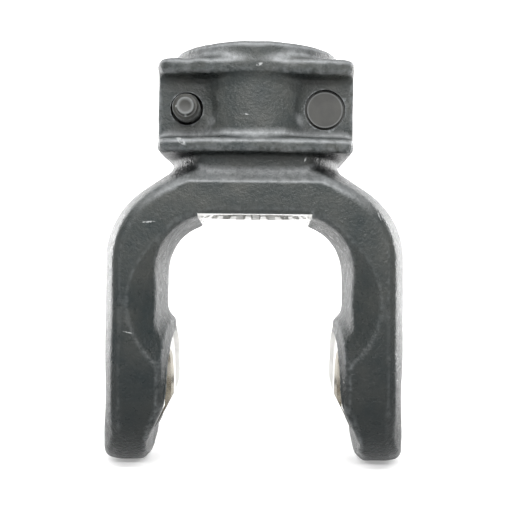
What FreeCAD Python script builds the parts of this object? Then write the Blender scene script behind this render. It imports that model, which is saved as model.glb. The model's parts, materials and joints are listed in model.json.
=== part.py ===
import FreeCAD, Part
import math
import os
import Sketcher

# Forged driveline yoke with a splined clamp hub and two opposed wedge pins.
# Origin: where the trunnion axis crosses the shaft axis. +Z runs up the shaft axis
# to the hub, X along the trunnion axis, and -Y is the front. Millimetres.

SIZES = {
    # Fork, from the trunnion axis
    "trunnion_bore": 30.2,
    "bore_chamfer": 1.0,
    "fork_width": 117.0,
    "cup_inset": 5.25,
    "clip_groove_width": 1.75,
    "clip_groove_depth": 1.1,
    "ear_depth": 54.0,
    "ear_drop": 27.6,
    "ear_corner": 15.0,
    "ear_toe_radius": 5.0,
    "ear_toe_turn": 75.0,
    "arm_thickness": 23.8,
    "forging_draft": 5.5,
    "pad_rise": 3.5,
    "pad_diameter": 56.0,
    "pad_flank": 12.0,
    "spotface_depth": 2.4,
    "spotface_diameter": 47.6,
    # Ramps that let a cross swing in between the ears
    "ramp_start": 1.0,
    "ramp_angle": 26.5,
    "ear_end_thickness": 18.3,
    "ear_end_corner": 3.0,
    # Crown, as heights above the trunnion axis
    "crown_underside": 66.4,
    "crown_facing": 69.0,
    "crown_facing_width": 42.0,
    "fork_corner": 20.0,
    "shoulder_radius": 32.0,
    "shoulder_lift": 2.6,
    "shoulder_end": 86.8,
    "crown_edge": 82.8,
    "neck_root": 3.0,
    "neck_inset": 3.5,
    # Reliefs in the inner corners of the arms
    "relief_height": 35.5,
    "relief_inset": 17.5,
    "relief_radius": 28.0,
    "relief_angle": 52.3,
    # Hub
    "collar_diameter": 64.4,
    "collar_top": 131.7,
    "collar_chamfer": 1.2,
    "waist_step": 2.2,
    "flange_reach": 4.2,
    "flange_proud": 0.3,
    "hub_face_radius": 222.0,
    "hub_corner": 6.0,
    "flange_bottom": 91.4,
    "waist_bottom": 96.7,
    "waist_top": 119.8,
    "flange_top": 125.6,
    "pin_block_inset": 6.0,
    # Shaft spline
    "spline_teeth": 20.0,
    "spline_minor": 40.2,
    "spline_major": 45.0,
    "spline_root_width": 2.9,
    "spline_mouth_width": 4.2,
    "spline_chamfer": 1.2,
    # Clamp pins
    "pin_height": 108.0,
    "pin_spacing": 51.2,
    "pin_seat": 22.4,
    "pin_seat_root": 1.5,
    "pin_diameter": 15.0,
    "pin_clearance": 0.05,
    "pin_shoulder": 14.0,
    "wedge_land": 6.0,
    "wedge_depth": 2.4,
    "stud_hole": 12.2,
    "stud_diameter": 9.9,
    "stud_reach": 5.4,
    "stud_tip_diameter": 6.4,
    "stud_tip_length": 1.3,
    # Forged edges, broken this wide
    "outer_edge": 2.0,
    "inner_edge": 1.6,
    "flange_edge": 1.2,
    # How far cutting profiles run past what they cut
    "overrun": 2.0,
}

# Tolerance for finding an edge by where it lies
NEAR = 0.05


class Size:
    """A length that carries both its value and the spreadsheet expression that gives it."""

    def __init__(self, value, text):
        self.value = value
        self.text = text

    def __add__(self, other):
        other = as_size(other)
        return Size(self.value + other.value, f"({self.text} + {other.text})")

    def __sub__(self, other):
        other = as_size(other)
        return Size(self.value - other.value, f"({self.text} - {other.text})")

    def __mul__(self, other):
        other = as_size(other)
        return Size(self.value * other.value, f"{self.text} * ({other.text})")

    def __truediv__(self, other):
        other = as_size(other)
        return Size(self.value / other.value, f"{self.text} / ({other.text})")

    def __neg__(self):
        return Size(-self.value, f"(0 - {self.text})")


def as_size(number):
    return number if isinstance(number, Size) else Size(number, f"{number}")


def tangent(angle):
    return Size(math.tan(math.radians(angle.value)), f"tan({angle.text} * 1deg)")


def sine(angle):
    return Size(math.sin(math.radians(angle.value)), f"sin({angle.text} * 1deg)")


def cosine(angle):
    return Size(math.cos(math.radians(angle.value)), f"cos({angle.text} * 1deg)")


def square_root(size):
    return Size(math.sqrt(size.value), f"sqrt({size.text})")


def add_derived(s):
    """Sizes that follow from the driving ones."""
    s["arm_gap"] = s["fork_width"] - s["arm_thickness"] * 2
    s["pad_gap"] = s["arm_gap"] - s["pad_rise"] * 2
    s["spotface_gap"] = s["pad_gap"] + s["spotface_depth"] * 2
    s["cap_span"] = s["fork_width"] - s["cup_inset"] * 2
    s["ear_end_gap"] = s["fork_width"] - s["ear_end_thickness"] * 2
    s["waist_diameter"] = s["collar_diameter"] - s["waist_step"] * 2
    s["hub_width"] = s["collar_diameter"] + s["flange_reach"] * 2
    half = s["hub_width"] / 2
    bulge = s["hub_face_radius"] - square_root(s["hub_face_radius"] * s["hub_face_radius"] - half * half)
    s["hub_end_depth"] = s["collar_diameter"] + s["flange_proud"] * 2 - bulge * 2
    s["pin_block_depth"] = s["hub_end_depth"] - s["pin_block_inset"] * 2
    s["neck_depth"] = s["hub_end_depth"] - s["neck_inset"] * 2
    s["crown_depth"] = s["neck_depth"] + s["neck_root"] * 2
    return s


def make_sheet(doc):
    sheet = doc.addObject("Spreadsheet::Sheet", "Sizes")
    for row, (alias, value) in enumerate(SIZES.items(), start=1):
        sheet.set(f"A{row}", alias)
        sheet.set(f"B{row}", f"{value}")
        sheet.setAlias(f"B{row}", alias)
    doc.recompute()
    return add_derived({alias: Size(value, f"Sizes.{alias}") for alias, value in SIZES.items()})


def origin_feature(body, role):
    return next(item for item in body.Origin.OriginFeatures if item.Role == role)


def new_sketch(body, name, plane, lift=None):
    """Sketch on one of the body's own origin planes, moved along its normal by lift."""
    sketch = body.newObject("Sketcher::SketchObject", name)
    sketch.AttachmentSupport = [(origin_feature(body, plane), "")]
    sketch.MapMode = "FlatFace"
    if lift is not None:
        sketch.setExpression("AttachmentOffset.Base.z", lift.text)
    return sketch


def pin_down(sketch, edge, end, corner):
    """Holds one end of an edge at the corner's two sizes, measured from the origin."""
    for kind, axis, size in (("DistanceX", -2, corner[0]), ("DistanceY", -1, corner[1])):
        size = as_size(size)
        if size.text == "0":
            sketch.addConstraint(Sketcher.Constraint("PointOnObject", edge, end, axis))
            continue
        index = sketch.addConstraint(Sketcher.Constraint(kind, -1, 1, edge, end, size.value))
        sketch.setExpression(f"Constraints[{index}]", size.text)


def arc_between(start, end, radius):
    """Counter-clockwise arc between two points, or clockwise where the radius is negative."""
    first, last = (start, end) if radius > 0 else (end, start)
    middle = (first + last) / 2
    half = (last - first) / 2
    rise = math.sqrt(radius ** 2 - half.Length ** 2)
    centre = middle + FreeCAD.Vector(-half.y, half.x, 0).normalize() * rise
    angles = [math.atan2(point.y - centre.y, point.x - centre.x) for point in (first, last)]
    circle = Part.Circle(centre, FreeCAD.Vector(0, 0, 1), abs(radius))
    return Part.ArcOfCircle(circle, angles[0], angles[1])


def draw_outline(sketch, corners):
    """Closed outline. A corner is (x, y), or (x, y, radius) where an arc leads on from it."""
    points = [FreeCAD.Vector(as_size(c[0]).value, as_size(c[1]).value, 0) for c in corners]
    first_edge = sketch.GeometryCount
    ends = []
    for number, corner in enumerate(corners):
        start = points[number]
        end = points[(number + 1) % len(points)]
        if len(corner) == 2:
            sketch.addGeometry(Part.LineSegment(start, end), False)
            ends.append((1, 2))
            continue
        sketch.addGeometry(arc_between(start, end, corner[2].value), False)
        ends.append((1, 2) if corner[2].value > 0 else (2, 1))
    for number, corner in enumerate(corners):
        edge = first_edge + number
        following = (number + 1) % len(corners)
        sketch.addConstraint(Sketcher.Constraint(
            "Coincident", edge, ends[number][1], first_edge + following, ends[following][0]))
        pin_down(sketch, edge, ends[number][0], corner)
        if len(corner) == 3:
            radius = corner[2] if corner[2].value > 0 else -corner[2]
            index = sketch.addConstraint(Sketcher.Constraint("Radius", edge, radius.value))
            sketch.setExpression(f"Constraints[{index}]", radius.text)


def draw_circle(sketch, centre, diameter):
    middle = FreeCAD.Vector(as_size(centre[0]).value, as_size(centre[1]).value, 0)
    circle = Part.Circle(middle, FreeCAD.Vector(0, 0, 1), diameter.value / 2)
    edge = sketch.addGeometry(circle, False)
    pin_down(sketch, edge, 3, centre)
    index = sketch.addConstraint(Sketcher.Constraint("Diameter", edge, diameter.value))
    sketch.setExpression(f"Constraints[{index}]", diameter.text)


def extrude(body, kind, name, sketch, length, side="One side", back=False, taper=None):
    feature = body.newObject(f"PartDesign::{kind}", name)
    feature.Profile = sketch
    feature.SideType = side
    feature.Reversed = back
    feature.setExpression("Length", length.text)
    if taper is not None:
        feature.setExpression("TaperAngle", taper.text)
    return feature


def turn(body, kind, name, sketch, axis):
    feature = body.newObject(f"PartDesign::{kind}", name)
    feature.Profile = sketch
    feature.ReferenceAxis = (sketch, [axis])
    feature.Angle = 360
    return feature


def add_axis_line(sketch, start, end):
    """Construction line that a feature turns about, used as the sketch's Axis0."""
    points = [FreeCAD.Vector(as_size(p[0]).value, as_size(p[1]).value, 0) for p in (start, end)]
    edge = sketch.addGeometry(Part.LineSegment(points[0], points[1]), True)
    pin_down(sketch, edge, 1, start)
    pin_down(sketch, edge, 2, end)


def break_edges(body, name, width, wanted, kind="Chamfer"):
    """Chamfers or rounds every edge of the body's last shape that the test picks."""
    body.Document.recompute()
    base = body.Tip
    names = [f"Edge{n}" for n, edge in enumerate(base.Shape.Edges, start=1) if wanted(edge)]
    feature = body.newObject(f"PartDesign::{kind}", name)
    feature.Base = (base, names)
    feature.setExpression({"Chamfer": "Size", "Fillet": "Radius"}[kind], width.text)
    return feature


def turn_envelope(body, s):
    """Fork envelope, neck and waist, turned about the shaft axis as one blank."""
    core = s["collar_diameter"] / 2
    waist = s["waist_diameter"] / 2
    lower_middle = (s["flange_bottom"] + s["waist_bottom"]) / 2
    upper_middle = (s["waist_top"] + s["flange_top"]) / 2
    sketch = new_sketch(body, "envelope_profile", "YZ_Plane")
    rim = s["fork_width"] / 2
    toe = s["ear_toe_radius"]
    toe_turned = s["ear_toe_turn"]
    start, touch = shoulder_points(s)
    draw_outline(sketch, [
        (0, -s["ear_drop"]),
        (rim - toe + toe * cosine(toe_turned), -s["ear_drop"], toe),
        (rim, toe * sine(toe_turned) - s["ear_drop"]),
        (*start, s["shoulder_radius"]),
        touch,
        (core, s["shoulder_end"]),
        (core, lower_middle),
        (waist, lower_middle),
        (waist, upper_middle),
        (0, upper_middle),
    ])
    turn(body, "Revolution", "envelope", sketch, "V_Axis")


def shoulder_points(s):
    """Ends of the shoulder's arc, which runs on as a straight slope up to the neck's foot."""
    radius = s["shoulder_radius"]
    middle = s["fork_width"] / 2 - radius
    start = s["shoulder_end"] - s["shoulder_lift"] - radius
    across = s["collar_diameter"] / 2 - middle
    up = s["shoulder_end"] - start
    far = across * across + up * up
    slope = square_root(far - radius * radius)
    reach = radius * (across * radius + up * slope) / far
    rise = radius * (up * radius - across * slope) / far
    return (s["fork_width"] / 2, start), (middle + reach, start + rise)


def open_fork(body, s):
    """Gap between the arms, drafted both ways from the parting line in the XZ plane."""
    half_gap = s["arm_gap"] / 2
    corner = s["fork_corner"]
    top = s["crown_underside"]
    below = -(s["ear_drop"] + s["overrun"])
    sketch = new_sketch(body, "gap_profile", "XZ_Plane")
    draw_outline(sketch, [
        (-half_gap, below),
        (half_gap, below),
        (half_gap, top - corner, corner),
        (half_gap - corner, top),
        (corner - half_gap, top, corner),
        (-half_gap, top - corner),
    ])
    extrude(body, "Pocket", "fork_gap", sketch, s["fork_width"], "Symmetric",
            taper=s["forging_draft"])


def trim_sides(body, s):
    """Front and back of the fork and neck, seen along the trunnion axis."""
    ear = s["ear_depth"] / 2
    crown = s["crown_depth"] / 2
    neck = s["neck_depth"] / 2
    root = s["neck_root"]
    foot = s["crown_edge"]
    corner = s["ear_corner"]
    low = corner - s["ear_drop"]
    top = s["flange_bottom"]
    wide = s["fork_width"]
    sketch = new_sketch(body, "side_profile", "YZ_Plane")
    draw_outline(sketch, [
        (-neck, top), (-neck, foot + root, -root), (-crown, foot),
        (-ear, low, corner), (corner - ear, -s["ear_drop"]),
        (ear - corner, -s["ear_drop"], corner), (ear, low),
        (crown, foot, -root), (neck, foot + root), (neck, top),
        (wide, top), (wide, -wide), (-wide, -wide), (-wide, top),
    ])
    extrude(body, "Pocket", "side_trim", sketch, wide * 2, "Symmetric")
    return sketch


def break_outer_edges(body, s):
    """Forged edges down the outside of both arms and along the top of the crown."""
    crown = s["crown_edge"].value
    outside = s["fork_width"].value / 2 - s["arm_thickness"].value / 2
    face = s["ear_depth"].value / 4

    def is_outer(edge):
        point = middle_of(edge)
        return (from_axis(point) > outside and abs(point.y) > face and not is_level(edge))

    break_edges(body, "outer_edges", s["outer_edge"],
                lambda e: is_outer(e) or is_level(e, crown))


def break_inner_edges(body, s):
    """Forged edges round the gap, where it runs out at the front and back faces."""
    ear = s["ear_depth"].value / 2
    low = s["ear_corner"].value - s["ear_drop"].value
    slope = (s["crown_depth"].value / 2 - ear) / (s["crown_edge"].value - low)
    inside = s["ear_end_gap"].value / 2
    roof = (s["crown_underside"].value + s["crown_edge"].value) / 2

    def on_face(point):
        return abs(abs(point.y) - ear - slope * (point.z - low)) < NEAR

    def is_inner(edge):
        point = middle_of(edge)
        return (on_face(point) and on_face(edge.Vertexes[0].Point) and abs(point.x) < inside
                and point.z < roof)

    pad_top = s["pad_diameter"].value / 2
    break_edges(body, "arm_edges", s["inner_edge"],
                lambda e: is_inner(e) and middle_of(e).z > pad_top)
    break_edges(body, "pad_edges", s["inner_edge"],
                lambda e: is_inner(e) and middle_of(e).z < pad_top)


def middle_of(edge):
    return edge.valueAt((edge.FirstParameter + edge.LastParameter) / 2)


def from_axis(point):
    return math.hypot(point.x, point.y)


def is_level(edge, height=None):
    """True where the whole edge lies at one height, at the given one if there is one."""
    box = edge.BoundBox
    flat = box.ZLength < NEAR
    return flat and (height is None or abs(box.ZMin - height) < NEAR)


def is_upright(edge, across, along):
    """True for a vertical edge at that distance from both centre planes."""
    middle = edge.CenterOfMass
    box = edge.BoundBox
    return (abs(abs(middle.x) - across) < NEAR and abs(abs(middle.y) - along) < NEAR
            and box.XLength < NEAR and box.YLength < NEAR)


def raise_pads(body, s, side_profile):
    """Round pads about the trunnion axis on the inside of each ear, with drafted faces."""
    radius = s["pad_diameter"] / 2
    base = radius + s["pad_flank"]
    face = s["pad_gap"] / 2
    foot = face + s["pad_flank"]
    for side, sign in (("left", -1), ("right", 1)):
        sketch = new_sketch(body, f"pad_profile_{side}", "XZ_Plane")
        draw_outline(sketch, [
            (face * sign, 0),
            (face * sign, radius),
            (foot * sign, base),
            (foot * sign, 0),
        ])
        turn(body, "Revolution", f"pad_{side}", sketch, "H_Axis")
    reach = s["ear_depth"]
    spread = face + reach * tangent(s["forging_draft"])
    sketch = new_sketch(body, "pad_draft_profile", "XY_Plane")
    draw_outline(sketch, [
        (face, 0), (spread, reach), (-spread, reach),
        (-face, 0), (-spread, -reach), (spread, -reach),
    ])
    extrude(body, "Pocket", "pad_draft", sketch, (base + s["overrun"]) * 2, "Symmetric")
    extrude(body, "Pocket", "pad_trim", side_profile, s["fork_width"] * 2, "Symmetric")


def ramp_ears(body, s):
    """Ramps down the inside of both ears, below the trunnion axis, to a thinner end."""
    start = s["pad_gap"] / 2
    wall = s["ear_end_gap"] / 2
    top = s["ramp_start"]
    foot = top - (wall - start) / tangent(s["ramp_angle"])
    corner = s["ear_end_corner"]
    floor = -s["ear_drop"]
    below = floor - s["overrun"]
    sketch = new_sketch(body, "ramp_profile", "XZ_Plane")
    draw_outline(sketch, [
        (start, top), (wall, foot), (wall, floor + corner), (wall + corner, floor),
        (wall + corner, below), (-wall - corner, below),
        (-wall - corner, floor), (-wall, floor + corner), (-wall, foot), (-start, top),
    ])
    extrude(body, "Pocket", "ear_ramps", sketch, s["fork_width"], "Symmetric")


def relieve_arms(body, s):
    """Conical reliefs in the front and back inner corners of both arms."""
    face = s["ear_depth"] / 2
    slope = tangent(s["relief_angle"])
    offset = s["arm_gap"] / 2 - s["relief_inset"]
    apex = face - s["relief_radius"] / slope
    mouth = face * 2
    spread = s["relief_radius"] + face * slope
    for side, across in (("left", -1), ("right", 1)):
        for end, along in (("front", -1), ("back", 1)):
            sketch = new_sketch(body, f"relief_profile_{side}_{end}", "XY_Plane",
                                s["relief_height"])
            centre = offset * across
            draw_outline(sketch, [
                (centre, apex * along),
                (centre + spread * across, mouth * along),
                (centre, mouth * along),
            ])
            add_axis_line(sketch, (centre, apex * along), (centre, mouth * along))
            turn(body, "Groove", f"relief_{side}_{end}", sketch, "Axis0")


def build_hub(body, s):
    """Two flanges about the waist, with a block between them on each side for the pins."""
    half_width = s["hub_width"] / 2
    end = s["hub_end_depth"] / 2
    round_front = s["hub_face_radius"]
    for name, bottom, top in (("lower_flange", "flange_bottom", "waist_bottom"),
                              ("upper_flange", "waist_top", "flange_top")):
        sketch = new_sketch(body, f"{name}_profile", "XY_Plane", s[bottom])
        draw_outline(sketch, [
            (-half_width, -end, round_front),
            (half_width, -end),
            (half_width, end, round_front),
            (-half_width, end),
        ])
        extrude(body, "Pad", name, sketch, s[top] - s[bottom])
    break_edges(body, "flange_corners", s["hub_corner"],
                lambda e: is_upright(e, half_width.value, end.value), "Fillet")
    core = s["collar_diameter"].value / 2 + s["flange_proud"].value / 2
    for name in ("flange_bottom", "waist_bottom", "waist_top", "flange_top"):
        level = s[name].value
        break_edges(body, f"{name}_edges", s["flange_edge"],
                    lambda e: is_level(e, level) and from_axis(middle_of(e)) > core)
    raise_collar(body, s)
    block = s["pin_block_depth"] / 2
    sketch = new_sketch(body, "pin_block_profile", "XY_Plane", s["waist_bottom"])
    draw_outline(sketch, [
        (-half_width, -block), (half_width, -block),
        (half_width, block), (-half_width, block),
    ])
    extrude(body, "Pad", "pin_block", sketch, s["waist_top"] - s["waist_bottom"])


def raise_collar(body, s):
    """Round collar on the upper flange, where the shaft comes out."""
    core = s["collar_diameter"] / 2
    foot = (s["waist_top"] + s["flange_top"]) / 2
    top = s["collar_top"]
    chamfer = s["collar_chamfer"]
    sketch = new_sketch(body, "collar_profile", "YZ_Plane")
    draw_outline(sketch, [
        (0, foot), (core, foot), (core, top - chamfer), (core - chamfer, top), (0, top),
    ])
    turn(body, "Revolution", "collar", sketch, "V_Axis")


def machine_fork(body, s):
    """Faced crown, spot-faced pads, and a bore for a bearing cup through each ear."""
    flat = s["crown_facing_width"] / 2
    sketch = new_sketch(body, "crown_facing_profile", "XZ_Plane")
    draw_outline(sketch, [
        (-flat, 0), (flat, 0), (flat, s["crown_facing"]), (-flat, s["crown_facing"]),
    ])
    extrude(body, "Pocket", "crown_facing", sketch, s["fork_width"], "Symmetric")
    sketch = new_sketch(body, "spotface_profile", "YZ_Plane")
    draw_circle(sketch, (0, 0), s["spotface_diameter"])
    extrude(body, "Pocket", "spotfaces", sketch, s["spotface_gap"], "Symmetric")
    radius = s["trunnion_bore"] / 2
    chamfer = s["bore_chamfer"]
    face = s["spotface_gap"] / 2
    cap = s["cap_span"] / 2
    groove_end = cap + s["clip_groove_width"]
    groove_radius = radius + s["clip_groove_depth"]
    out = s["fork_width"] / 2 + s["overrun"]
    for side, sign in (("left", -1), ("right", 1)):
        sketch = new_sketch(body, f"bore_profile_{side}", "XZ_Plane")
        draw_outline(sketch, [
            ((face - chamfer) * sign, 0),
            ((face - chamfer) * sign, radius + chamfer * 2),
            ((face + chamfer) * sign, radius),
            (cap * sign, radius),
            (cap * sign, groove_radius),
            (groove_end * sign, groove_radius),
            (groove_end * sign, radius),
            (out * sign, radius),
            (out * sign, 0),
        ])
        turn(body, "Groove", f"trunnion_bore_{side}", sketch, "H_Axis")


def cut_spline(body, s):
    """Splined bore for the shaft, from the faced crown through the collar."""
    minor = s["spline_minor"] / 2
    major = s["spline_major"] / 2
    chamfer = s["spline_chamfer"]
    bottom = s["crown_facing"]
    top = s["collar_top"]
    sketch = new_sketch(body, "spline_bore_profile", "XZ_Plane")
    draw_outline(sketch, [
        (0, bottom - chamfer),
        (minor + chamfer * 2, bottom - chamfer),
        (minor, bottom + chamfer),
        (minor, top - chamfer),
        (minor + chamfer * 2, top + chamfer),
        (0, top + chamfer),
    ])
    turn(body, "Groove", "spline_bore", sketch, "V_Axis")
    mouth = s["spline_mouth_width"] / 2
    root = s["spline_root_width"] / 2
    sketch = new_sketch(body, "spline_space_profile", "XY_Plane", bottom - s["overrun"])
    inside = minor - s["overrun"]
    draw_outline(sketch, [
        (inside, -mouth), (minor, -mouth), (major, -root),
        (major, root), (minor, mouth), (inside, mouth),
    ])
    space = extrude(body, "Pocket", "spline_space", sketch, top - bottom + s["overrun"] * 2,
                    back=True)
    pattern = body.newObject("PartDesign::PolarPattern", "spline_spaces")
    pattern.Originals = [space]
    pattern.Axis = (origin_feature(body, "Z_Axis"), [""])
    pattern.Angle = 360
    pattern.setExpression("Occurrences", s["spline_teeth"].text)
    body.Tip = pattern


def pin_sides(s):
    """Name, outward direction and the side that the pin's head is on, for both clamp pins."""
    return (("left", -1, 1), ("right", 1, -1))


def seat_pins(body, s):
    """Round seats on the front and back of the hub, and the stepped pin holes."""
    face = s["pin_block_depth"] / 2
    seat = s["pin_seat"] / 2
    root = s["pin_seat_root"]
    past = s["collar_diameter"] / 2 + s["overrun"]
    for side, outward, head in pin_sides(s):
        across = s["pin_spacing"] / 2 * outward
        rim = across + seat * outward
        for end, along in (("front", -1), ("back", 1)):
            sketch = new_sketch(body, f"pin_seat_profile_{side}_{end}", "XY_Plane",
                                s["pin_height"])
            draw_outline(sketch, [
                (across, face * along),
                (rim - root * outward, face * along),
                (rim, (face + root) * along),
                (rim, past * along),
                (across, past * along),
            ])
            add_axis_line(sketch, (across, face * along), (across, past * along))
            turn(body, "Groove", f"pin_seat_{side}_{end}", sketch, "Axis0")
        hole = across + (s["pin_diameter"] / 2 + s["pin_clearance"]) * outward
        stud = across + s["stud_hole"] / 2 * outward
        step = s["pin_shoulder"] * -head
        sketch = new_sketch(body, f"pin_hole_profile_{side}", "XY_Plane", s["pin_height"])
        draw_outline(sketch, [
            (across, past * -head), (stud, past * -head), (stud, step),
            (hole, step), (hole, past * head), (across, past * head),
        ])
        add_axis_line(sketch, (across, past * -head), (across, past * head))
        turn(body, "Groove", f"pin_hole_{side}", sketch, "Axis0")


def make_pin(doc, s, side, outward, head):
    """Wedge pin with its stud, along Y. The head's side is 1 for the back, -1 for the front."""
    body = doc.addObject("PartDesign::Body", f"clamp_pin_{side}")
    body.Label = f"clamp_pin_{side}"
    across = s["pin_spacing"] / 2 * outward
    face = s["pin_block_depth"] / 2
    stud_end = face + s["stud_reach"]
    tip = stud_end + s["stud_tip_length"]
    radius = s["pin_diameter"] / 2
    stud = s["stud_diameter"] / 2
    thin = s["stud_tip_diameter"] / 2
    step = s["pin_shoulder"] * -head
    sketch = new_sketch(body, "pin_profile", "XY_Plane", s["pin_height"])
    draw_outline(sketch, [
        (across, face * head), (across + radius, face * head), (across + radius, step),
        (across + stud, step), (across + stud, stud_end * -head),
        (across + thin, stud_end * -head), (across + thin, tip * -head), (across, tip * -head),
    ])
    add_axis_line(sketch, (across, face * head), (across, tip * -head))
    turn(body, "Revolution", "pin", sketch, "Axis0")
    cut_wedge(body, s, outward, head)
    return body


def cut_wedge(body, s, outward, head):
    """Inclined flat on the pin's inner side, which draws tight against the shaft."""
    surface = (s["pin_spacing"] / 2 - s["pin_diameter"] / 2) * outward
    outside = surface - s["overrun"] * outward
    start = (s["pin_block_depth"] / 2 - s["wedge_land"]) * head
    step = s["pin_shoulder"] * -head
    sketch = new_sketch(body, "wedge_profile", "XY_Plane", s["pin_height"])
    draw_outline(sketch, [
        (surface, start), (surface + s["wedge_depth"] * outward, step),
        (outside, step), (outside, start),
    ])
    extrude(body, "Pocket", "wedge_flat", sketch, s["pin_diameter"], "Symmetric")


def make_forging(doc, s):
    body = doc.addObject("PartDesign::Body", "yoke_forging")
    body.Label = "yoke_forging"
    turn_envelope(body, s)
    open_fork(body, s)
    side_profile = trim_sides(body, s)
    break_outer_edges(body, s)
    raise_pads(body, s, side_profile)
    ramp_ears(body, s)
    break_inner_edges(body, s)
    relieve_arms(body, s)
    build_hub(body, s)
    machine_fork(body, s)
    cut_spline(body, s)
    seat_pins(body, s)
    return body


def check(doc, bodies):
    for item in doc.Objects:
        if "Invalid" in item.State or "Error" in item.State:
            raise RuntimeError(f"{item.Name} failed: {item.State}")
    for body in bodies:
        if body.Shape.isNull() or not body.Shape.isValid():
            raise RuntimeError(f"{body.Label} has no valid shape")


def main():
    doc = FreeCAD.newDocument("forged_yoke")
    s = make_sheet(doc)
    bodies = [make_forging(doc, s)]
    bodies += [make_pin(doc, s, *placing) for placing in pin_sides(s)]
    doc.recompute()
    check(doc, bodies)
    os.makedirs("parts", exist_ok=True)
    for body in bodies:
        body.Shape.exportStep(f"parts/{body.Label}.step")
        print(body.Label, len(body.Shape.Solids), round(body.Shape.Volume), body.Shape.BoundBox)


main()
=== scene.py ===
import json
import math

import bmesh
import bpy
import numpy as np
from mathutils import Euler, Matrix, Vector

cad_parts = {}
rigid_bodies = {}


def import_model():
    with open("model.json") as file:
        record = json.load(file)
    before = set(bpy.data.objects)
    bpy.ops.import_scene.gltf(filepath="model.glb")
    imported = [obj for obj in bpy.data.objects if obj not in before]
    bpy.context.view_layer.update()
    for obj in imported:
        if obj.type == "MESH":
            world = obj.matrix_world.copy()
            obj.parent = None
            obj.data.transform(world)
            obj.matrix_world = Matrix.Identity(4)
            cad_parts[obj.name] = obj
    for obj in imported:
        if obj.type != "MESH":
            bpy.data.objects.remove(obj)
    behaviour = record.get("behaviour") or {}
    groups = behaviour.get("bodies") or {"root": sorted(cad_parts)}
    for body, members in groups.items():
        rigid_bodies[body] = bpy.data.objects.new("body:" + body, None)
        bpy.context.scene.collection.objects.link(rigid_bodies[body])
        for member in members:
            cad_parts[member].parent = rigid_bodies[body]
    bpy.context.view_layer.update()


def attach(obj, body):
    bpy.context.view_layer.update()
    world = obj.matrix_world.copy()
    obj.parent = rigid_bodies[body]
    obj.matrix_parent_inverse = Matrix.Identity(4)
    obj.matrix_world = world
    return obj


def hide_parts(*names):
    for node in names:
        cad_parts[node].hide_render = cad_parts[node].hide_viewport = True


# Lengths in this script are millimetres until a mesh or an object is made: MM turns them
# into metres. The frame is the part's own: origin on the trunnion axis, +Z up the shaft.
MM = 0.001

# Fork, from the part's own sizes
TRUNNION_RADIUS = 15.1
BORE_CHAMFER = 1.0
CAP_HALF_SPAN = 53.25
CLIP_GROOVE_WIDTH = 1.75
CLIP_GROOVE_DEPTH = 1.1
OUTER_RADIUS = 58.5
SPOTFACE_X = 33.6
SPOTFACE_RADIUS = 23.8
CROWN_FACING_Z = 69.0
CROWN_FACING_X = 21.0
PAD_X = 31.2
RAMP_TOP = 1.0
RAMP_ANGLE = 26.5
EAR_DROP = 27.6
EAR_CORNER = 15.0
EAR_END_X = 40.2
EAR_MARGIN = 6.0

# The full round that the ears' ends are drawn in to, and the share of each ear's reach from
# the trunnion axis that stays as it is
EAR_ROUND = 27.0
EAR_CORE = 0.6

# Hub
SPLINE_MINOR = 20.1
SPLINE_MAJOR = 22.5
SPLINE_TEETH = 20
SPLINE_MOUTH = 4.2
SPLINE_ROOT = 2.9
SPLINE_CHAMFER = 1.2
COLLAR_TOP = 131.7

# Clamp pins. A pin is (side, place across, which way along Y its head points).
PIN_X = 25.6
PINS = (("left", -PIN_X, 1), ("right", PIN_X, -1))
PIN_Z = 108.0
PIN_FACE_Y = 23.49
PIN_RADIUS = 7.5
PIN_CLEARANCE = 0.05
PIN_HEAD_RADIUS = 6.7
PIN_HEAD_DEPTH = 1.6
PIN_HEAD_RINGS = (1.6, 0.9, 0.2)
PIN_HEAD_EDGE = 0.15
PIN_SHOULDER = 14.0
PIN_SHOULDER_EDGE = 0.3
WEDGE_LAND = 6.0
WEDGE_DEPTH = 2.4
STUD_HOLE_RADIUS = 6.1
STUD_RADIUS = 4.95
STUD_REACH = 5.4
STUD_TIP_RADIUS = 3.2
STUD_TIP_LENGTH = 1.3
THREAD_PITCH = 1.5
THREAD_DEPTH = 0.8
THREAD_STEP = 0.12
THREAD_RUN_OUT = 2.0
THREAD_LEAD = 0.7
THREAD_LEAD_DROP = 0.9
THREAD_LEAD_LOSS = 0.6

# How fine the dressed forging is, and how often it is smoothed and its roots are filled
SKIN_VOXEL = 0.85
SMOOTHING_ROUNDS = 3
SMOOTHING_STEP = 0.5
ROOT_ROUNDS = 24
NORMALS_EVERY = 5
SHARP_ANGLE = math.radians(32)

# Plugs that fill what is machined while the skin is made: how far they reach beyond the
# machined sizes, or stay inside them
SPLINE_FILL = 0.8
BORE_FILL = 0.4
BORE_PLUG_X = (34, 55.6)
PAD_INSET = 0.15
PIN_FILL = 0.6
FACING_FILL = 1.2
FACING_INSET = 0.1
FACING_HALF_DEPTH = 26.5

# Cutters: how far they reach past the metal, and where in the open the facing ones start
CUT_PAST = 2
BORE_CUT_PAST = 3
SPOTFACE_TOOL_X = 25
FACING_TOOL_Y = 40
FACING_TOOL_Z = 60

# Unevenness of the skin in layers: (height, size of a feature, seed)
SKIN_LAYERS = ((0.16, 17, 1), (0.07, 6, 2), (0.035, 2.6, 3))

# The hammered end of the upper flange: left of, in front of and above these
HAMMERED_X = -14.0
HAMMERED_Y = 22.0
HAMMERED_Z = 115.0
HAMMERED_HEIGHT = 0.34
HAMMERED_SIZE = 4.2
HAMMERED_SEED = 4

# Camera, matched to the photograph
FRAME_MM = 204.0
CAMERA_DISTANCE = 324.0
CAMERA_SIDE = 2.6
CAMERA_HEIGHT = 54.0
CAMERA_ROLL = 0.56
SENSOR = 36.0

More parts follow.
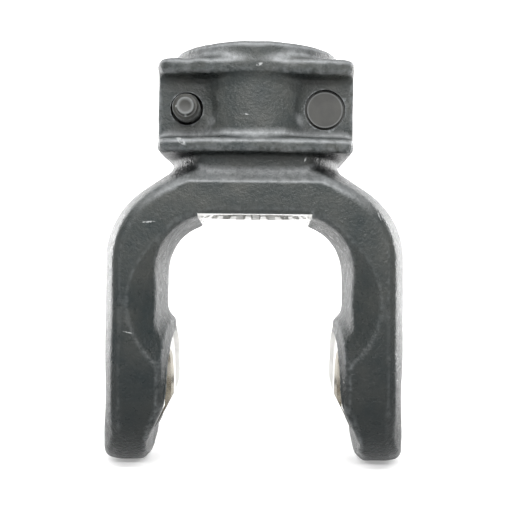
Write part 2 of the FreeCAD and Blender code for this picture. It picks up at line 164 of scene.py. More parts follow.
# Stage and light. A softbox is (name, place, size, power).
WORLD_LEVEL = 0.3
FLOOR_GLOW = 0.3
FLOOR_REACH = 400
WALL_GLOW = 1.1
WALL_Y = 560
WALL_SIZE = 2500
STAGE_THICKNESS = 2.0
LIT_POINT = (0, 0, 50)
SOFTBOXES = (
    ("left_softbox", (-620, 480, 140), (260, 700), 6),
    ("right_softbox", (620, 480, 140), (260, 700), 6),
    ("top_softbox", (0, -380, 600), (700, 80), 3),
    ("front_softbox", (0, -640, 390), (700, 90), 4.5),
)

# Heights between which the skin turns from its darker colour, painted shade, to its lighter one,
# painted light, and between which the painted highlight on its upward slopes sets in
PAINTED_SHADE_TO_LIGHT = (-20.0, 82.0)
PAINTED_HIGHLIGHT_FROM = (66.0, 84.0)

# How far off a facing surface makes a recess dark with painted shade
PAINTED_SHADE_REACH = 14.0

# Colours of the forged skin. The low and high scale colours vary between two colours each; the low
# ones are darker as painted shade, the high ones lighter as painted light.
PAINTED_SHADE_SCALE = ((0.004, 0.008, 0.009), (0.012, 0.014, 0.013))
PAINTED_LIGHT_SCALE = ((0.018, 0.025, 0.026), (0.058, 0.060, 0.055))
# Painted highlight on the hub's upward slopes
PAINTED_HIGHLIGHT = (0.27, 0.28, 0.285)
# Painted shade in recesses
PAINTED_RECESS_SHADE = (0.003, 0.004, 0.004)
# Edges brighter, partly from wear and partly as a painted highlight
WORN_AND_HIGHLIT_EDGE = (0.17, 0.18, 0.185)
NICK_BRIGHT = (0.34, 0.35, 0.35)

# Other colours. The hole's wall and the pins vary between two colours each.
FACED_STEEL = (0.78, 0.775, 0.76)
BORED_STEEL = (0.56, 0.53, 0.47)
HOLE_WALL = ((0.010, 0.010, 0.010), (0.022, 0.022, 0.021))
PIN_BLACK = ((0.015, 0.015, 0.013), (0.026, 0.026, 0.022))
PIN_WORN = (0.20, 0.21, 0.21)
STAGE_WHITE = (0.8, 0.8, 0.8, 1)

# Bright marks on the skin's front: (centre in X and Z, half length, half width, turn from
# level in degrees)
NICKS = (
    ((1.2, 122.7), 1.5, 0.6, 20),
    ((-27.0, 95.2), 2.6, 1.1, -40),
    ((-38.9, 65.7), 2.9, 0.35, 4),
    ((18.4, 89.3), 1.2, 0.4, 65),
    ((45.6, 68.6), 2.2, 0.3, -68),
    ((-46.0, 25.2), 2.2, 0.22, -12),
    ((-39.6, -20.5), 0.9, 0.5, -10),
    ((-4.0, 105.2), 1.7, 0.3, -6),
)
NICK_Y = -30.0
NICK_DEPTH = 12.0


def main():
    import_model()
    skin = forged_skin_material()
    faced = machined_steel_material("faced_steel", FACED_STEEL, 0.4)
    bored = machined_steel_material("bored_steel", BORED_STEEL, 0.22)
    pin_finish = pin_material()
    forging = dress_forging(skin, faced, bored, hole_material())
    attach(forging, "root")
    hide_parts("yoke_forging")
    for side, across, head in PINS:
        pin = dress_pin(f"pin_{side}", across, head, pin_finish)
        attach(pin, "root")
        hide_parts(f"clamp_pin_{side}")
    make_stage()
    make_world()
    for softbox in SOFTBOXES:
        add_softbox(*softbox)
    make_camera()
    bpy.context.scene.view_settings.view_transform = "Standard"


def new_object(name, mesh, *materials):
    """Object of a mesh in the scene."""
    thing = bpy.data.objects.new(name, mesh)
    bpy.context.scene.collection.objects.link(thing)
    for material in materials:
        mesh.materials.append(material)
    return thing


def mesh_from(name, points, faces):
    """Mesh in metres from points in millimetres, with its normals made to point out."""
    mesh = bpy.data.meshes.new(name)
    mesh.from_pydata([(x * MM, y * MM, z * MM) for x, y, z in points], [], faces)
    shape = bmesh.new()
    shape.from_mesh(mesh)
    bmesh.ops.recalc_face_normals(shape, faces=shape.faces)
    shape.to_mesh(mesh)
    shape.free()
    return mesh


def ring_faces(rows, segments):
    """Faces between rings of points that follow each other, each of as many segments."""
    faces = []
    for row in range(rows - 1):
        for step in range(segments):
            after = (step + 1) % segments
            low = row * segments
            high = low + segments
            faces.append((low + step, low + after, high + after, high + step))
    return faces


def lathe(name, profile, axis, centre, segments=96):
    """Closed solid of revolution. The profile is (distance along the axis, radius) pairs."""
    points = []
    for along, radius in profile:
        for step in range(segments):
            angle = 2 * math.pi * step / segments
            u = radius * math.cos(angle)
            v = radius * math.sin(angle)
            place = {"X": (along, u, v), "Y": (v, along, u), "Z": (u, v, along)}[axis]
            points.append(tuple(p + c for p, c in zip(place, centre)))
    faces = ring_faces(len(profile), segments)
    last = (len(profile) - 1) * segments
    faces.append(tuple(range(segments))[::-1])
    faces.append(tuple(range(last, last + segments)))
    return mesh_from(name, points, faces)


def block(name, low, high):
    """Box between two corners."""
    corners = [(x, y, z) for x in (low[0], high[0]) for y in (low[1], high[1])
               for z in (low[2], high[2])]
    faces = [(0, 1, 3, 2), (4, 6, 7, 5), (0, 4, 5, 1), (2, 3, 7, 6), (0, 2, 6, 4), (1, 5, 7, 3)]
    return mesh_from(name, corners, faces)


def spline_cutter():
    """The splined bore as a solid: a star of spaces about the round minor bore."""
    outline = []
    pitch = 2 * math.pi / SPLINE_TEETH
    for tooth in range(SPLINE_TEETH):
        middle = tooth * pitch
        for radius, width in ((SPLINE_MINOR, -SPLINE_MOUTH), (SPLINE_MAJOR, -SPLINE_ROOT),
                              (SPLINE_MAJOR, SPLINE_ROOT), (SPLINE_MINOR, SPLINE_MOUTH)):
            angle = middle + math.asin(width / 2 / radius)
            outline.append((radius * math.cos(angle), radius * math.sin(angle)))
        land = SPLINE_MOUTH / 2 / SPLINE_MINOR
        for share in (0.33, 0.67):
            angle = middle + land + (pitch - 2 * land) * share
            outline.append((SPLINE_MINOR * math.cos(angle), SPLINE_MINOR * math.sin(angle)))
    count = len(outline)
    levels = (CROWN_FACING_Z - CUT_PAST, COLLAR_TOP + CUT_PAST)
    points = [(x, y, level) for level in levels for x, y in outline]
    faces = [(n, (n + 1) % count, count + (n + 1) % count, count + n) for n in range(count)]
    faces.append(tuple(range(count))[::-1])
    faces.append(tuple(range(count, 2 * count)))
    return mesh_from("spline_cutter", points, faces)


def behind_ramp(mesh, sign):
    """Cuts off what stands out of the ramp on the inside of an ear."""
    angle = math.radians(RAMP_ANGLE)
    shape = bmesh.new()
    shape.from_mesh(mesh)
    cut = bmesh.ops.bisect_plane(
        shape, geom=shape.verts[:] + shape.edges[:] + shape.faces[:], clear_outer=True,
        plane_co=Vector((PAD_X * sign, 0, RAMP_TOP)) * MM,
        plane_no=(-sign * math.cos(angle), 0, -math.sin(angle)))
    rim = [item for item in cut["geom_cut"] if isinstance(item, bmesh.types.BMEdge)]
    bmesh.ops.edgeloop_fill(shape, edges=rim)
    bmesh.ops.recalc_face_normals(shape, faces=shape.faces)
    shape.to_mesh(mesh)
    shape.free()
    return mesh


def machining_plugs():
    """Solids that fill what is machined, so that the forged skin is made without it."""
    spline = SPLINE_MAJOR + SPLINE_FILL
    facing = CROWN_FACING_X - FACING_INSET
    plugs = [
        lathe("spline_plug", [(CROWN_FACING_Z, spline), (COLLAR_TOP, spline)], "Z", (0, 0, 0)),
        block("facing_plug", (-facing, -FACING_HALF_DEPTH, CROWN_FACING_Z - FACING_FILL),
              (facing, FACING_HALF_DEPTH, CROWN_FACING_Z + 1)),
    ]
    for sign in (-1, 1):
        wide = TRUNNION_RADIUS + CLIP_GROOVE_DEPTH + BORE_FILL
        bore = lathe("bore_plug", [(x * sign, wide) for x in BORE_PLUG_X], "X", (0, 0, 0))
        plugs.append(behind_ramp(bore, sign))
        round_pad = SPOTFACE_RADIUS - PAD_INSET
        pad = lathe("pad_plug", [(PAD_X * sign, round_pad), ((SPOTFACE_X + 1) * sign, round_pad)],
                    "X", (0, 0, 0))
        plugs.append(behind_ramp(pad, sign))
        hole = PIN_RADIUS + PIN_FILL
        plugs.append(lathe("pin_plug", [(-PIN_FACE_Y, hole), (PIN_FACE_Y, hole)],
                           "Y", (PIN_X * sign, 0, PIN_Z)))
    return plugs


def facing_cutters():
    """Solids of what is faced and broached bright into the forging after it is forged."""
    cone = SPLINE_CHAMFER + CUT_PAST
    cutters = [
        spline_cutter(),
        lathe("collar_chamfer", [(COLLAR_TOP - SPLINE_CHAMFER, SPLINE_MINOR),
                                 (COLLAR_TOP + CUT_PAST, SPLINE_MINOR + cone)], "Z", (0, 0, 0)),
        lathe("crown_chamfer", [(CROWN_FACING_Z - CUT_PAST, SPLINE_MINOR + cone),
                                (CROWN_FACING_Z + SPLINE_CHAMFER, SPLINE_MINOR)], "Z", (0, 0, 0)),
        block("crown_facing", (-CROWN_FACING_X, -FACING_TOOL_Y, FACING_TOOL_Z),
              (CROWN_FACING_X, FACING_TOOL_Y, CROWN_FACING_Z)),
    ]
    for sign in (-1, 1):
        cutters.append(lathe("spotface", [(SPOTFACE_TOOL_X * sign, SPOTFACE_RADIUS),
                                          (SPOTFACE_X * sign, SPOTFACE_RADIUS)],
                             "X", (0, 0, 0), 128))
    return cutters


def bore_cutters():
    """Solids of the two trunnion bores, with their chamfers and circlip grooves."""
    groove = CAP_HALF_SPAN + CLIP_GROOVE_WIDTH
    deep = TRUNNION_RADIUS + CLIP_GROOVE_DEPTH
    profile = [(SPOTFACE_X - BORE_CHAMFER, TRUNNION_RADIUS + 2 * BORE_CHAMFER),
               (SPOTFACE_X + BORE_CHAMFER, TRUNNION_RADIUS), (CAP_HALF_SPAN, TRUNNION_RADIUS),
               (CAP_HALF_SPAN, deep), (groove, deep), (groove, TRUNNION_RADIUS),
               (OUTER_RADIUS + BORE_CUT_PAST, TRUNNION_RADIUS)]
    return [lathe("trunnion_bore", [(x * sign, r) for x, r in profile], "X", (0, 0, 0), 128)
            for sign in (-1, 1)]


def pin_cutters():
    """Solids of the two stepped pin holes."""
    wide = PIN_RADIUS + PIN_CLEARANCE
    open_end = PIN_FACE_Y + CUT_PAST
    hole = [(-open_end, STUD_HOLE_RADIUS), (-PIN_SHOULDER, STUD_HOLE_RADIUS),
            (-PIN_SHOULDER, wide), (open_end, wide)]
    return [lathe("pin_hole", [(y * head, r) for y, r in hole], "Y", (across, 0, PIN_Z))
            for _, across, head in PINS]


def joined(name, meshes):
    """One object from several meshes."""
    shape = bmesh.new()
    for mesh in meshes:
        shape.from_mesh(mesh)
    whole = bpy.data.meshes.new(name)
    shape.to_mesh(whole)
    shape.free()
    return new_object(name, whole)


def applied(thing):
    """The object with its modifiers applied."""
    graph = bpy.context.evaluated_depsgraph_get()
    result = bpy.data.meshes.new_from_object(thing.evaluated_get(graph), depsgraph=graph)
    thing.modifiers.clear()
    thing.data = result
    return thing


def dress_forging(skin, faced, bored, drilled):
    """The forging as made: an uneven forged skin, with the machined surfaces cut into it."""
    source = bpy.data.objects["yoke_forging"].data
    forging = joined("forging", [source] + machining_plugs())
    remesh = forging.modifiers.new("skin", "REMESH")
    remesh.mode = "VOXEL"
    remesh.voxel_size = SKIN_VOXEL * MM
    remesh.adaptivity = 0
    applied(forging)
    shape_skin(forging.data)
    forging.data.materials.clear()
    forging.data.materials.append(skin)
    finished = [(mesh, faced) for mesh in facing_cutters()]
    finished += [(mesh, bored) for mesh in bore_cutters()]
    finished += [(mesh, drilled) for mesh in pin_cutters()]
    for number, (mesh, finish) in enumerate(finished):
        tool = new_object(f"cutter_{number}", mesh, finish)
        cut = forging.modifiers.new(f"cut_{number}", "BOOLEAN")
        cut.operation = "DIFFERENCE"
        cut.object = tool
        cut.solver = "EXACT"
        cut.material_mode = "TRANSFER"
    applied(forging)
    for thing in [o for o in bpy.data.objects if o.name.startswith("cutter_")]:
        bpy.data.objects.remove(thing)
    forging.data.shade_smooth()
    forging.data.set_sharp_from_angle(angle=SHARP_ANGLE)
    return forging


def shape_skin(mesh):
    """Smooths the voxel steps out of the skin and gives it its forged unevenness."""
    count = len(mesh.vertices)
    points = np.empty(count * 3)
    mesh.vertices.foreach_get("co", points)
    points = points.reshape(-1, 3) / MM
    edges = np.empty(len(mesh.edges) * 2, dtype=np.int64)
    mesh.edges.foreach_get("vertices", edges)
    edges = edges.reshape(-1, 2)
    degree = np.bincount(edges.ravel(), minlength=count)[:, None]
    low, high = points.min(axis=0), points.max(axis=0)
    for _ in range(SMOOTHING_ROUNDS):
        points += drift_to_neighbours(points, edges, degree)
    for turn in range(ROOT_ROUNDS):
        if turn % NORMALS_EVERY == 0:
            normals = vertex_normals(mesh, points)
        drift = drift_to_neighbours(points, edges, degree)
        outward = np.maximum((drift * normals).sum(axis=1), 0.0)
        points += normals * outward[:, None]
    points = round_ears(points)
    normals = vertex_normals(mesh, points)
    points += normals * unevenness(points)[:, None]
    points = np.clip(points, low, high)
    mesh.vertices.foreach_set("co", (points * MM).ravel())
    mesh.update()


def round_ears(points):
    """Draws the corners of the ears' ends in to a full round about the trunnion axis.

    The ramps on the inside stay flat: a point keeps its share of the wall between ramp and
    outer face.
    """
    ends = (points[:, 2] < 0) & (np.abs(points[:, 0]) > PAD_X - EAR_MARGIN)
    x, y, z = points[ends].T
    reach = np.hypot(y, z)
    sine = np.abs(y) / reach
    cosine = -z / reach
    # The ear's present outline in the direction of each point: its level end, its upright
    # side or the arc of its corner
    level = EAR_DROP / np.maximum(cosine, 1e-6)
    upright = EAR_ROUND / np.maximum(sine, 1e-6)
    centre = np.array((EAR_ROUND - EAR_CORNER, EAR_DROP - EAR_CORNER))
    along = sine * centre[0] + cosine * centre[1]
    arc = along + np.sqrt(np.maximum(along ** 2 - centre @ centre + EAR_CORNER ** 2, 0))
    edge = np.where(level * sine <= centre[0], level,
                    np.where(upright * cosine <= centre[1], upright, arc))
    # Past the core, points are drawn in so that the outline comes to lie on the round
    share = reach / edge
    slope = (EAR_ROUND / edge - EAR_CORE) / (1 - EAR_CORE)
    drawn = np.where(share > EAR_CORE, EAR_CORE + (share - EAR_CORE) * slope, share) / share
    wall = (OUTER_RADIUS - np.abs(x)) / (OUTER_RADIUS - ramp_at(z))
    result = points.copy()
    result[ends] = np.column_stack((
        np.sign(x) * (OUTER_RADIUS - wall * (OUTER_RADIUS - ramp_at(z * drawn))),
        y * drawn, z * drawn))
    return result


def ramp_at(z):
    """Distance of the ear's inner face from the shaft axis, at heights below the trunnion."""
    return np.clip(PAD_X + (RAMP_TOP - z) * math.tan(math.radians(RAMP_ANGLE)), PAD_X, EAR_END_X)


def vertex_normals(mesh, points):
    """Normals of the mesh with its vertices at these points, in millimetres."""
    mesh.vertices.foreach_set("co", (points * MM).ravel())
    mesh.update()
    normals = np.empty(len(points) * 3)
    mesh.vertices.foreach_get("normal", normals)
    return normals.reshape(-1, 3)


def drift_to_neighbours(points, edges, degree):
    """A step from each point towards the middle of the points that edges join it to."""
    count = len(points)
    total = np.empty_like(points)
    for column in range(points.shape[1]):
        total[:, column] = (
            np.bincount(edges[:, 0], weights=points[edges[:, 1], column], minlength=count)
            + np.bincount(edges[:, 1], weights=points[edges[:, 0], column], minlength=count))
    return (total / degree - points) * SMOOTHING_STEP


def value_noise(points, size, seed):
    """Smooth noise from -1 to 1 with features about as large as size, in millimetres."""
    grid = points / size + 1000.0
    cell = np.floor(grid).astype(np.int64)
    part = grid - cell
    part = part * part * (3 - 2 * part)
    total = np.zeros(len(points))
    for dx in (0, 1):
        for dy in (0, 1):
            for dz in (0, 1):
                # A hash of the grid corner gives its level
                corner = cell + (dx, dy, dz)
                mixed = (corner[:, 0] * 73856093) ^ (corner[:, 1] * 19349663)
                mixed ^= corner[:, 2] * 83492791 + seed * 2654435761
                mixed = (mixed ^ (mixed >> 13)) * 1274126177 & 0x7FFFFFFF
                level = (mixed ^ (mixed >> 16)) % 65536 / 32767.5 - 1
                weight = (np.where(dx, part[:, 0], 1 - part[:, 0])
                          * np.where(dy, part[:, 1], 1 - part[:, 1])
                          * np.where(dz, part[:, 2], 1 - part[:, 2]))
                total += level * weight
    return total


def unevenness(points):
    """How far the forged skin stands off the nominal shape, in millimetres."""
    total = np.zeros(len(points))
    for height, size, seed in SKIN_LAYERS:
        total += height * value_noise(points, size, seed)
    x, y, z = points.T
    hammered = (x < HAMMERED_X) & (y < -HAMMERED_Y) & (z > HAMMERED_Z)
    blows = HAMMERED_HEIGHT * value_noise(points, HAMMERED_SIZE, HAMMERED_SEED)
    return total + np.where(hammered, blows, 0)


def pin_rows():
    """The pin from its head to its stud's tip: (place along it, radius, thread's depth)."""
    below_head = PIN_FACE_Y - PIN_HEAD_DEPTH
    rows = [(PIN_FACE_Y, 0.0, 0.0)]
    rows += [(PIN_FACE_Y, PIN_HEAD_RADIUS - inset, 0.0) for inset in PIN_HEAD_RINGS]
    rows += [(PIN_FACE_Y - PIN_HEAD_EDGE, PIN_HEAD_RADIUS, 0.0),
             (below_head, PIN_HEAD_RADIUS, 0.0), (below_head, PIN_RADIUS, 0.0),
             (PIN_FACE_Y - WEDGE_LAND, PIN_RADIUS, 0.0),
             (-PIN_SHOULDER + PIN_SHOULDER_EDGE, PIN_RADIUS, 0.0),
             (-PIN_SHOULDER, PIN_RADIUS - PIN_SHOULDER_EDGE, 0.0),
             (-PIN_SHOULDER, STUD_RADIUS - 0.2, 0.0)]
    start = -PIN_SHOULDER - 0.4
    end = -PIN_FACE_Y - STUD_REACH
    steps = int((start - end) / THREAD_STEP)
    for step in range(steps + 1):
        along = start + (end - start) * step / steps
        fade = min(1.0, (start - along) / THREAD_RUN_OUT)
        taper = max(0.0, 1.0 - (along - end) / THREAD_LEAD)
        rows.append((along, STUD_RADIUS - THREAD_LEAD_DROP * taper,
                     THREAD_DEPTH * fade * (1 - THREAD_LEAD_LOSS * taper)))
    tip = end - STUD_TIP_LENGTH
    rows += [(end, STUD_TIP_RADIUS + 0.15, 0.0), (end - 0.15, STUD_TIP_RADIUS, 0.0),
             (tip + 0.25, STUD_TIP_RADIUS, 0.0), (tip, STUD_TIP_RADIUS - 0.3, 0.0),
             (tip + 0.05, STUD_TIP_RADIUS * 0.45, 0.0), (tip + 0.5, 0.0, 0.0)]
    return rows


def wedge_reach(along):
    """How far the pin reaches towards the shaft, which its inclined flat limits."""
    start = PIN_FACE_Y - WEDGE_LAND
    share = (start - along) / (start + PIN_SHOULDER)
    return PIN_RADIUS - WEDGE_DEPTH * share if 0 <= share <= 1.02 else PIN_RADIUS


def dress_pin(name, across, head, finish, segments=72):
    """Wedge pin with a helical thread on its stud. It lies along Y, its head towards +Y * head."""
    rows = pin_rows()
    points = []
    for along, radius, depth in rows:
        for step in range(segments):
            angle = 2 * math.pi * step / segments
            phase = (along / THREAD_PITCH + step / segments) % 1
            reach = radius - depth * (1 - abs(2 * phase - 1))
            sideways = min(reach * math.sin(angle), wedge_reach(along))
            points.append((across + sideways * head, along * head,
                           PIN_Z + reach * math.cos(angle)))
    mesh = mesh_from(name, points, ring_faces(len(rows), segments))
    shape = bmesh.new()
    shape.from_mesh(mesh)
    bmesh.ops.remove_doubles(shape, verts=shape.verts, dist=1e-7)
    shape.to_mesh(mesh)
    shape.free()
    mesh.shade_smooth()
    mesh.set_sharp_from_angle(angle=SHARP_ANGLE)
    return new_object(name, mesh, finish)


class Nodes:
    """Short way to build a material's nodes."""

    def __init__(self, name):
        self.material = bpy.data.materials.new(name)
        self.material.use_nodes = True
        self.tree = self.material.node_tree
        self.shader = self.tree.nodes["Principled BSDF"]
        self.place = self.add("TexCoord").outputs["Object"]

    def add(self, kind, **settings):
        """New shader node of a kind."""
        node = self.tree.nodes.new(f"ShaderNode{kind}")
        for key, value in settings.items():
            setattr(node, key, value)
        return node

    def link(self, source, target):
        self.tree.links.new(source, target)

    def noise(self, size, detail=3.0, roughness=0.5):
        """Noise with features about as large as size, in millimetres."""
        node = self.add("TexNoise")
        node.inputs["Scale"].default_value = 1 / (size * MM)
        node.inputs["Detail"].default_value = detail
        node.inputs["Roughness"].default_value = roughness
        self.link(self.place, node.inputs["Vector"])
        return node.outputs["Fac"]

    def ramp(self, source, *stops):
        """Colour ramp. A stop is (position, colour), and a colour may be one number."""
        node = self.add("ValToRGB")
        elements = node.color_ramp.elements
        while len(elements) < len(stops):
            elements.new(0.5)
        for element, (position, colour) in zip(elements, stops):
            element.position = position
            if isinstance(colour, (int, float)):
                colour = (colour, colour, colour)
            element.color = (*colour, 1)
        self.link(source, node.inputs["Fac"])
        return node.outputs["Color"]

    def product(self, first, second):
        """Two numbers multiplied."""
        node = self.add("Math", operation="MULTIPLY")
        self.link(first, node.inputs[0])
        self.link(second, node.inputs[1])
        return node.outputs[0]

    def mix(self, share, below, colour):
        """The colour over what is below, where share is 1."""
        node = self.add("MixRGB")
        self.link(share, node.inputs["Fac"])
        self.link(below, node.inputs["Color1"])
        if isinstance(colour, tuple):
            node.inputs["Color2"].default_value = (*colour, 1)
        else:
            self.link(colour, node.inputs["Color2"])
        return node.outputs["Color"]

    def recess(self):
        """1 deep in roots and under overhangs, where the colour is darkened as painted shade, and
        0 in the open.
        """
        node = self.add("AmbientOcclusion", samples=12, only_local=True)
        node.inputs["Distance"].default_value = PAINTED_SHADE_REACH * MM
        return self.ramp(node.outputs["AO"], (0.55, 1), (0.93, 0))

    def facing_up(self):
        """1 where the surface slopes up, and less where it is level or looks sideways."""
        parts = self.add("SeparateXYZ")
        self.link(self.add("TexCoord").outputs["Normal"], parts.inputs[0])
        return self.ramp(parts.outputs["Z"], (0.05, 0), (0.30, 1), (0.6, 0.5), (0.85, 0.1))

    def height(self, low, high):
        """0 below the height low, rising to 1 at the height high."""
        parts = self.add("SeparateXYZ")
        self.link(self.place, parts.inputs[0])
        node = self.add("MapRange", interpolation_type="SMOOTHSTEP")
        node.inputs["From Min"].default_value = low * MM
        node.inputs["From Max"].default_value = high * MM
        self.link(parts.outputs["Z"], node.inputs["Value"])
        return node.outputs["Result"]

    def nicks(self):
        """1 on the small bright marks on the front, and 0 elsewhere."""
        ragged = self.noise(0.8, 2)
        total = None
        for (x, z), half_length, half_width, turn in NICKS:
            place = self.add("Mapping", vector_type="TEXTURE")
            place.inputs["Location"].default_value = (x * MM, NICK_Y * MM, z * MM)
            place.inputs["Rotation"].default_value = (0, -math.radians(turn), 0)
            place.inputs["Scale"].default_value = (half_length * MM, NICK_DEPTH * MM,
                                                   half_width * MM)
            self.link(self.place, place.inputs["Vector"])
            length = self.add("VectorMath", operation="LENGTH")
            self.link(place.outputs["Vector"], length.inputs[0])
            inside = self.ramp(length.outputs["Value"], (0.55, 1), (1.0, 0))
            inside = self.product(inside, self.ramp(ragged, (0.38, 0), (0.52, 1)))
            total = inside if total is None else larger(self.tree, total, inside)
        return total

    def bump(self, height, strength, distance, normal=None):
        """Normal bent by a height, on top of another bent normal if one is given."""
        node = self.add("Bump")
        node.inputs["Strength"].default_value = strength
        node.inputs["Distance"].default_value = distance * MM
        self.link(height, node.inputs["Height"])
        if normal is not None:
            self.link(normal, node.inputs["Normal"])
        return node.outputs["Normal"]


def forged_skin_material():
    """Black forging scale: satin and grained, with nicks. Its colour holds painted light and
    shade: darker towards the bottom, lighter towards the top, a painted highlight on upward
    slopes, painted shade in recesses, and edges brighter partly from wear and partly as a painted
    highlight.
    """
    n = Nodes("forged_skin")
    patches = n.noise(14, 5, 0.6)
    # Darker towards the bottom as painted shade, lighter towards the top as painted light
    low = n.ramp(patches, (0.3, PAINTED_SHADE_SCALE[0]), (0.7, PAINTED_SHADE_SCALE[1]))
    high = n.ramp(patches, (0.3, PAINTED_LIGHT_SCALE[0]), (0.7, PAINTED_LIGHT_SCALE[1]))
    tone = n.mix(n.height(*PAINTED_SHADE_TO_LIGHT), low, high)
    # Painted highlight: lighter colour on upward slopes high on the part, patchy by noise
    up_highlight = n.product(n.facing_up(), n.ramp(n.noise(2.4, 4, 0.65), (0.3, 0.45), (0.6, 1)))
    tone = n.mix(n.product(up_highlight, n.height(*PAINTED_HIGHLIGHT_FROM)), tone, PAINTED_HIGHLIGHT)
    # Convex edges brighter: partly wear, partly painted highlight
    edge_wear_and_highlight = n.product(n.ramp(n.add("NewGeometry").outputs["Pointiness"], (0.508, 0), (0.545, 1)),
                     n.ramp(n.noise(2.2, 4, 0.65), (0.36, 0), (0.60, 1)))
    # Painted shade: darker in roots and under overhangs
    tone = n.mix(n.recess(), tone, PAINTED_RECESS_SHADE)
    marks = n.nicks()
    tone = n.mix(edge_wear_and_highlight, tone, WORN_AND_HIGHLIT_EDGE)
    tone = n.mix(marks, tone, NICK_BRIGHT)
    n.link(tone, n.shader.inputs["Base Color"])
    gloss = n.ramp(n.noise(3, 4), (0.3, 0.24), (0.7, 0.40))
    n.link(gloss, n.shader.inputs["Roughness"])
    n.shader.inputs["Specular IOR Level"].default_value = 0.24
    dents = n.bump(n.noise(3.2, 3, 0.5), 0.8, 0.3)
    grain = n.bump(n.noise(1.2, 3, 0.65), 0.9, 0.45, dents)
    fine = n.bump(n.noise(0.5, 2), 0.8, 0.1, grain)
    n.link(fine, n.shader.inputs["Normal"])
    return n.material


def hole_material():
    """Oily dark walls of the pin holes."""
    n = Nodes("pin_hole")
    tone = n.ramp(n.noise(3, 3), (0.3, HOLE_WALL[0]), (0.7, HOLE_WALL[1]))
    n.link(tone, n.shader.inputs["Base Color"])
    n.shader.inputs["Roughness"].default_value = 0.55
    n.shader.inputs["Specular IOR Level"].default_value = 0.3
    return n.material


def machined_steel_material(name, colour, roughness):
    """Bare steel as it comes from the tool."""
    n = Nodes(name)
    n.shader.inputs["Metallic"].default_value = 1.0
    dull = tuple(level * 0.88 for level in colour)
    n.link(n.ramp(n.noise(6, 3), (0.3, dull), (0.7, colour)), n.shader.inputs["Base Color"])
    n.shader.inputs["Roughness"].default_value = roughness
    n.link(n.bump(n.noise(0.4, 2), 0.2, 0.02), n.shader.inputs["Normal"])
    return n.material


def pin_material():
    """Blackened turned steel of the clamp pins."""
    n = Nodes("pin_black")
    tone = n.ramp(n.noise(2.5, 4), (0.3, PIN_BLACK[0]), (0.7, PIN_BLACK[1]))
    crest = n.ramp(n.add("NewGeometry").outputs["Pointiness"], (0.52, 0), (0.58, 1))
    n.link(n.mix(crest, tone, PIN_WORN), n.shader.inputs["Base Color"])
    n.shader.inputs["Roughness"].default_value = 0.5
    n.shader.inputs["Specular IOR Level"].default_value = 0.45
    n.link(n.bump(n.noise(0.3, 2), 0.25, 0.02), n.shader.inputs["Normal"])
    return n.material


def white_stage_material(name, strength):
    """Pale surface that shows as white, and keeps the object's shadow."""
    material = bpy.data.materials.new(name)
    material.use_nodes = True
    tree = material.node_tree
    shader = tree.nodes["Principled BSDF"]
    shader.inputs["Base Color"].default_value = STAGE_WHITE
    shader.inputs["Roughness"].default_value = 0.9
    glow = tree.nodes.new("ShaderNodeEmission")
    glow.inputs["Strength"].default_value = strength
    both = tree.nodes.new("ShaderNodeAddShader")
    tree.links.new(shader.outputs[0], both.inputs[0])
    tree.links.new(glow.outputs[0], both.inputs[1])
    mix = tree.nodes.new("ShaderNodeMixShader")
    tree.links.new(seen_directly(tree), mix.inputs["Fac"])
    tree.links.new(shader.outputs[0], mix.inputs[1])
    tree.links.new(both.outputs[0], mix.inputs[2])
    tree.links.new(mix.outputs[0], tree.nodes["Material Output"].inputs["Surface"])
    return material


def seen_directly(tree):
    """1 for rays from the camera or from a mirror-like or clear surface, and 0 for others."""
    path = tree.nodes.new("ShaderNodeLightPath")
    total = path.outputs["Is Camera Ray"]
    for name in ("Is Glossy Ray", "Is Transmission Ray"):
        total = larger(tree, total, path.outputs[name])
    return total


def larger(tree, first, second):
    """The larger of two numbers in a node tree."""
    node = tree.nodes.new("ShaderNodeMath")
    node.operation = "MAXIMUM"
    tree.links.new(first, node.inputs[0])
    tree.links.new(second, node.inputs[1])
    return node.outputs[0]


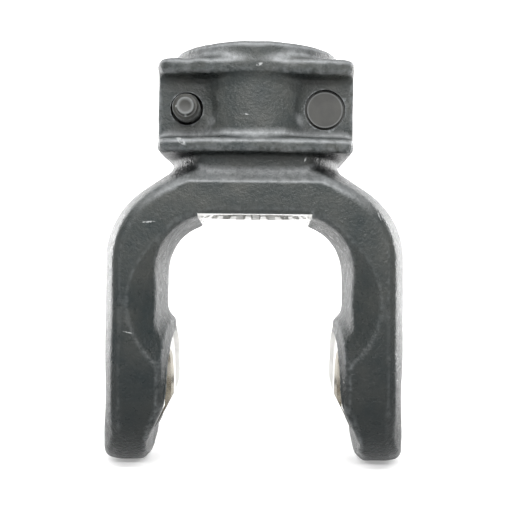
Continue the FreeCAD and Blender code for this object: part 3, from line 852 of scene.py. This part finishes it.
def make_stage():
    """White floor under the ears, with a backdrop behind."""
    top = -EAR_DROP
    bottom = top - STAGE_THICKNESS
    floor = block("floor", (-FLOOR_REACH, -FLOOR_REACH, bottom), (FLOOR_REACH, WALL_Y, top))
    new_object("floor", floor, white_stage_material("white_floor", FLOOR_GLOW))
    wall = block("backdrop", (-WALL_SIZE, WALL_Y, bottom),
                 (WALL_SIZE, WALL_Y + STAGE_THICKNESS, WALL_SIZE))
    new_object("backdrop", wall, white_stage_material("white_backdrop", WALL_GLOW))


def make_world():
    """Even light all round, which shows as white itself."""
    world = bpy.data.worlds.new("studio")
    bpy.context.scene.world = world
    world.use_nodes = True
    tree = world.node_tree
    plain = tree.nodes["Background"]
    white = tree.nodes.new("ShaderNodeBackground")
    for node, strength in ((plain, WORLD_LEVEL), (white, 1.0)):
        node.inputs["Color"].default_value = (1, 1, 1, 1)
        node.inputs["Strength"].default_value = strength
    mix = tree.nodes.new("ShaderNodeMixShader")
    tree.links.new(seen_directly(tree), mix.inputs["Fac"])
    tree.links.new(plain.outputs[0], mix.inputs[1])
    tree.links.new(white.outputs[0], mix.inputs[2])
    tree.links.new(mix.outputs[0], tree.nodes["World Output"].inputs["Surface"])


def add_softbox(name, place, size, power):
    """Rectangular area lamp that faces the part."""
    light = bpy.data.lights.new(name, "AREA")
    light.shape = "RECTANGLE"
    light.size = size[0] * MM
    light.size_y = size[1] * MM
    light.energy = power
    lamp = bpy.data.objects.new(name, light)
    bpy.context.scene.collection.objects.link(lamp)
    lamp.location = Vector(place) * MM
    towards = Vector(LIT_POINT) - Vector(place)
    lamp.rotation_euler = towards.to_track_quat("-Z", "Y").to_euler()


def make_camera():
    """The photograph's view: level, from the front, at the height of the part's middle."""
    camera = bpy.data.cameras.new("camera")
    camera.sensor_width = SENSOR
    camera.lens = SENSOR * CAMERA_DISTANCE / FRAME_MM
    camera.shift_x = -CAMERA_SIDE / FRAME_MM
    camera.clip_start = 0.01
    camera.clip_end = 20
    holder = bpy.data.objects.new("camera", camera)
    bpy.context.scene.collection.objects.link(holder)
    holder.location = Vector((CAMERA_SIDE, -CAMERA_DISTANCE, CAMERA_HEIGHT)) * MM
    holder.rotation_euler = Euler((math.radians(90), math.radians(-CAMERA_ROLL), 0), "XYZ")
    bpy.context.scene.camera = holder


main()
